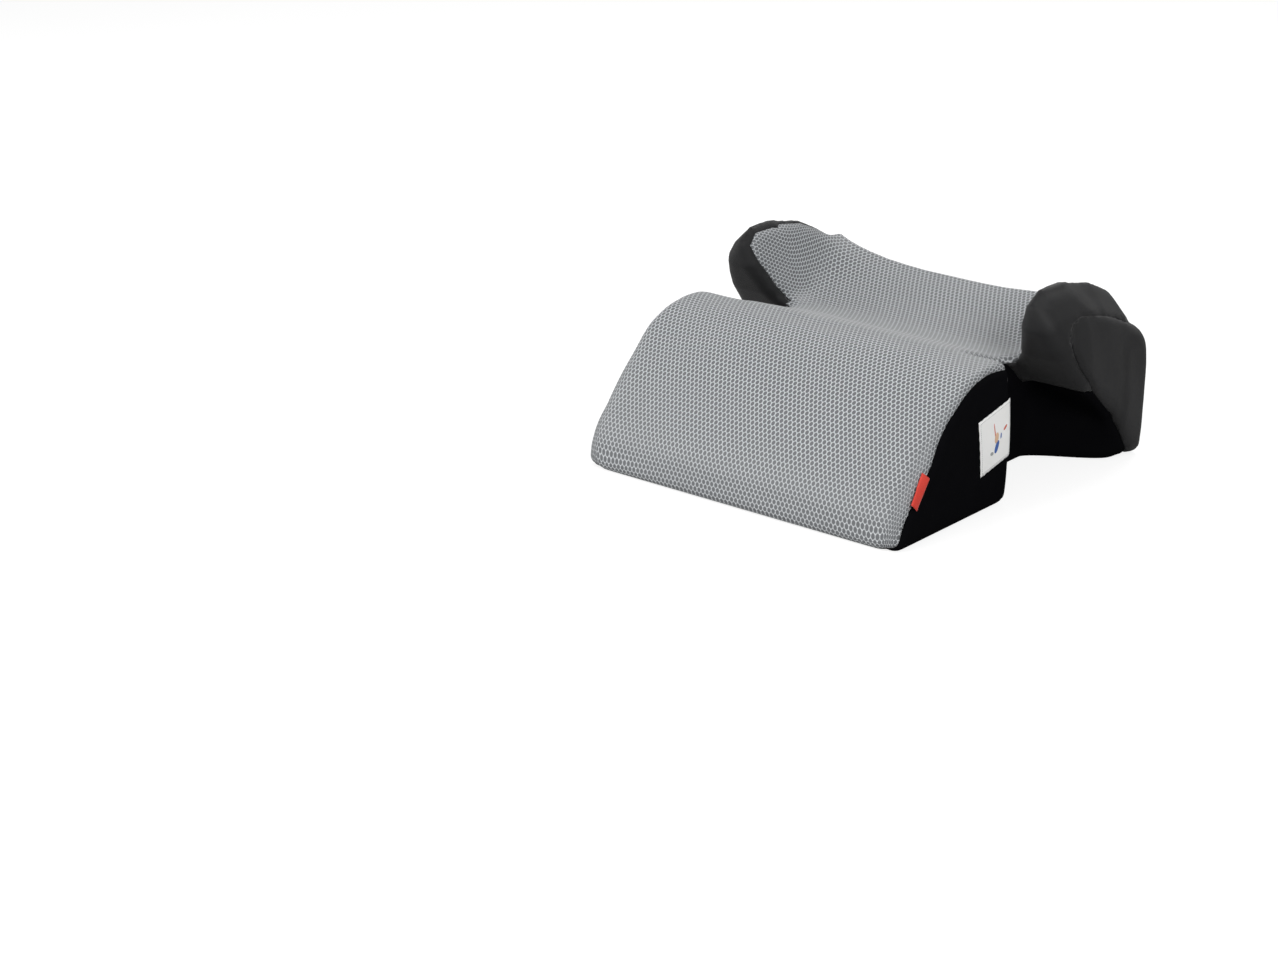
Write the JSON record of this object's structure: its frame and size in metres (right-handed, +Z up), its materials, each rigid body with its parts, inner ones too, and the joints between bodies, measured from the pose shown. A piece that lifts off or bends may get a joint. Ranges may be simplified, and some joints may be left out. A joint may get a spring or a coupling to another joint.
{
  "type": "booster seat",
  "caption": "Backless child booster seat: padded mesh seat over a ribbed plastic shell, with thigh wings and two armrests that hook over the lap belt.",
  "frame": {"origin": "bottom centre of the bounding box, on the plane of the four rubber feet", "axes": "+X to the side where the label is, -Y to the front edge, +Z up"},
  "size_m": [0.444, 0.41, 0.2],
  "materials": {
    "shell_plastic": "moulded, fine grain",
    "foam": "open-cell foam",
    "air_mesh": "light grey knitted spacer mesh over dark ground",
    "black_fabric": "matt woven polyester",
    "charcoal_fabric": "satin brushed polyester",
    "hem_tape": "woven binding",
    "elastic": "braided elastic",
    "hook_plastic": "moulded",
    "foot_rubber": "matt",
    "label_cloth": "woven satin ribbon",
    "label_thread": "thread",
    "label_print": "printed patches",
    "tab_cloth": "woven ribbon",
    "sticker": "vinyl"
  },
  "bodies": {
    "root": {"approval_sticker": "sticker", "cover_hooks": "hook_plastic", "crosswise_ribs": "shell_plastic", "front_left_foot": "foot_rubber", "front_right_foot": "foot_rubber", "hem_casing": "hem_tape", "hem_elastic": "elastic", "instruction_label": "label_cloth", "label_patches": "label_print", "label_stitching": "label_thread", "left_armrest_foam": "foam", "left_armrest_front_panel": "charcoal_fabric", "left_armrest_outer_panel": "charcoal_fabric", "left_notch_panel": "black_fabric", "left_wing_panel": "black_fabric", "lengthwise_ribs": "shell_plastic", "mesh_top_panel": "air_mesh", "rear_left_foot": "foot_rubber", "rear_panel": "black_fabric", "rear_right_foot": "foot_rubber", "right_armrest_foam": "foam", "right_armrest_front_panel": "charcoal_fabric", "right_armrest_outer_panel": "charcoal_fabric", "right_notch_panel": "black_fabric", "right_wing_panel": "black_fabric", "seat_foam": "foam", "seat_shell": "shell_plastic", "side_tab": "tab_cloth", "sticker_plate": "shell_plastic"}
  },
  "joints": []
}
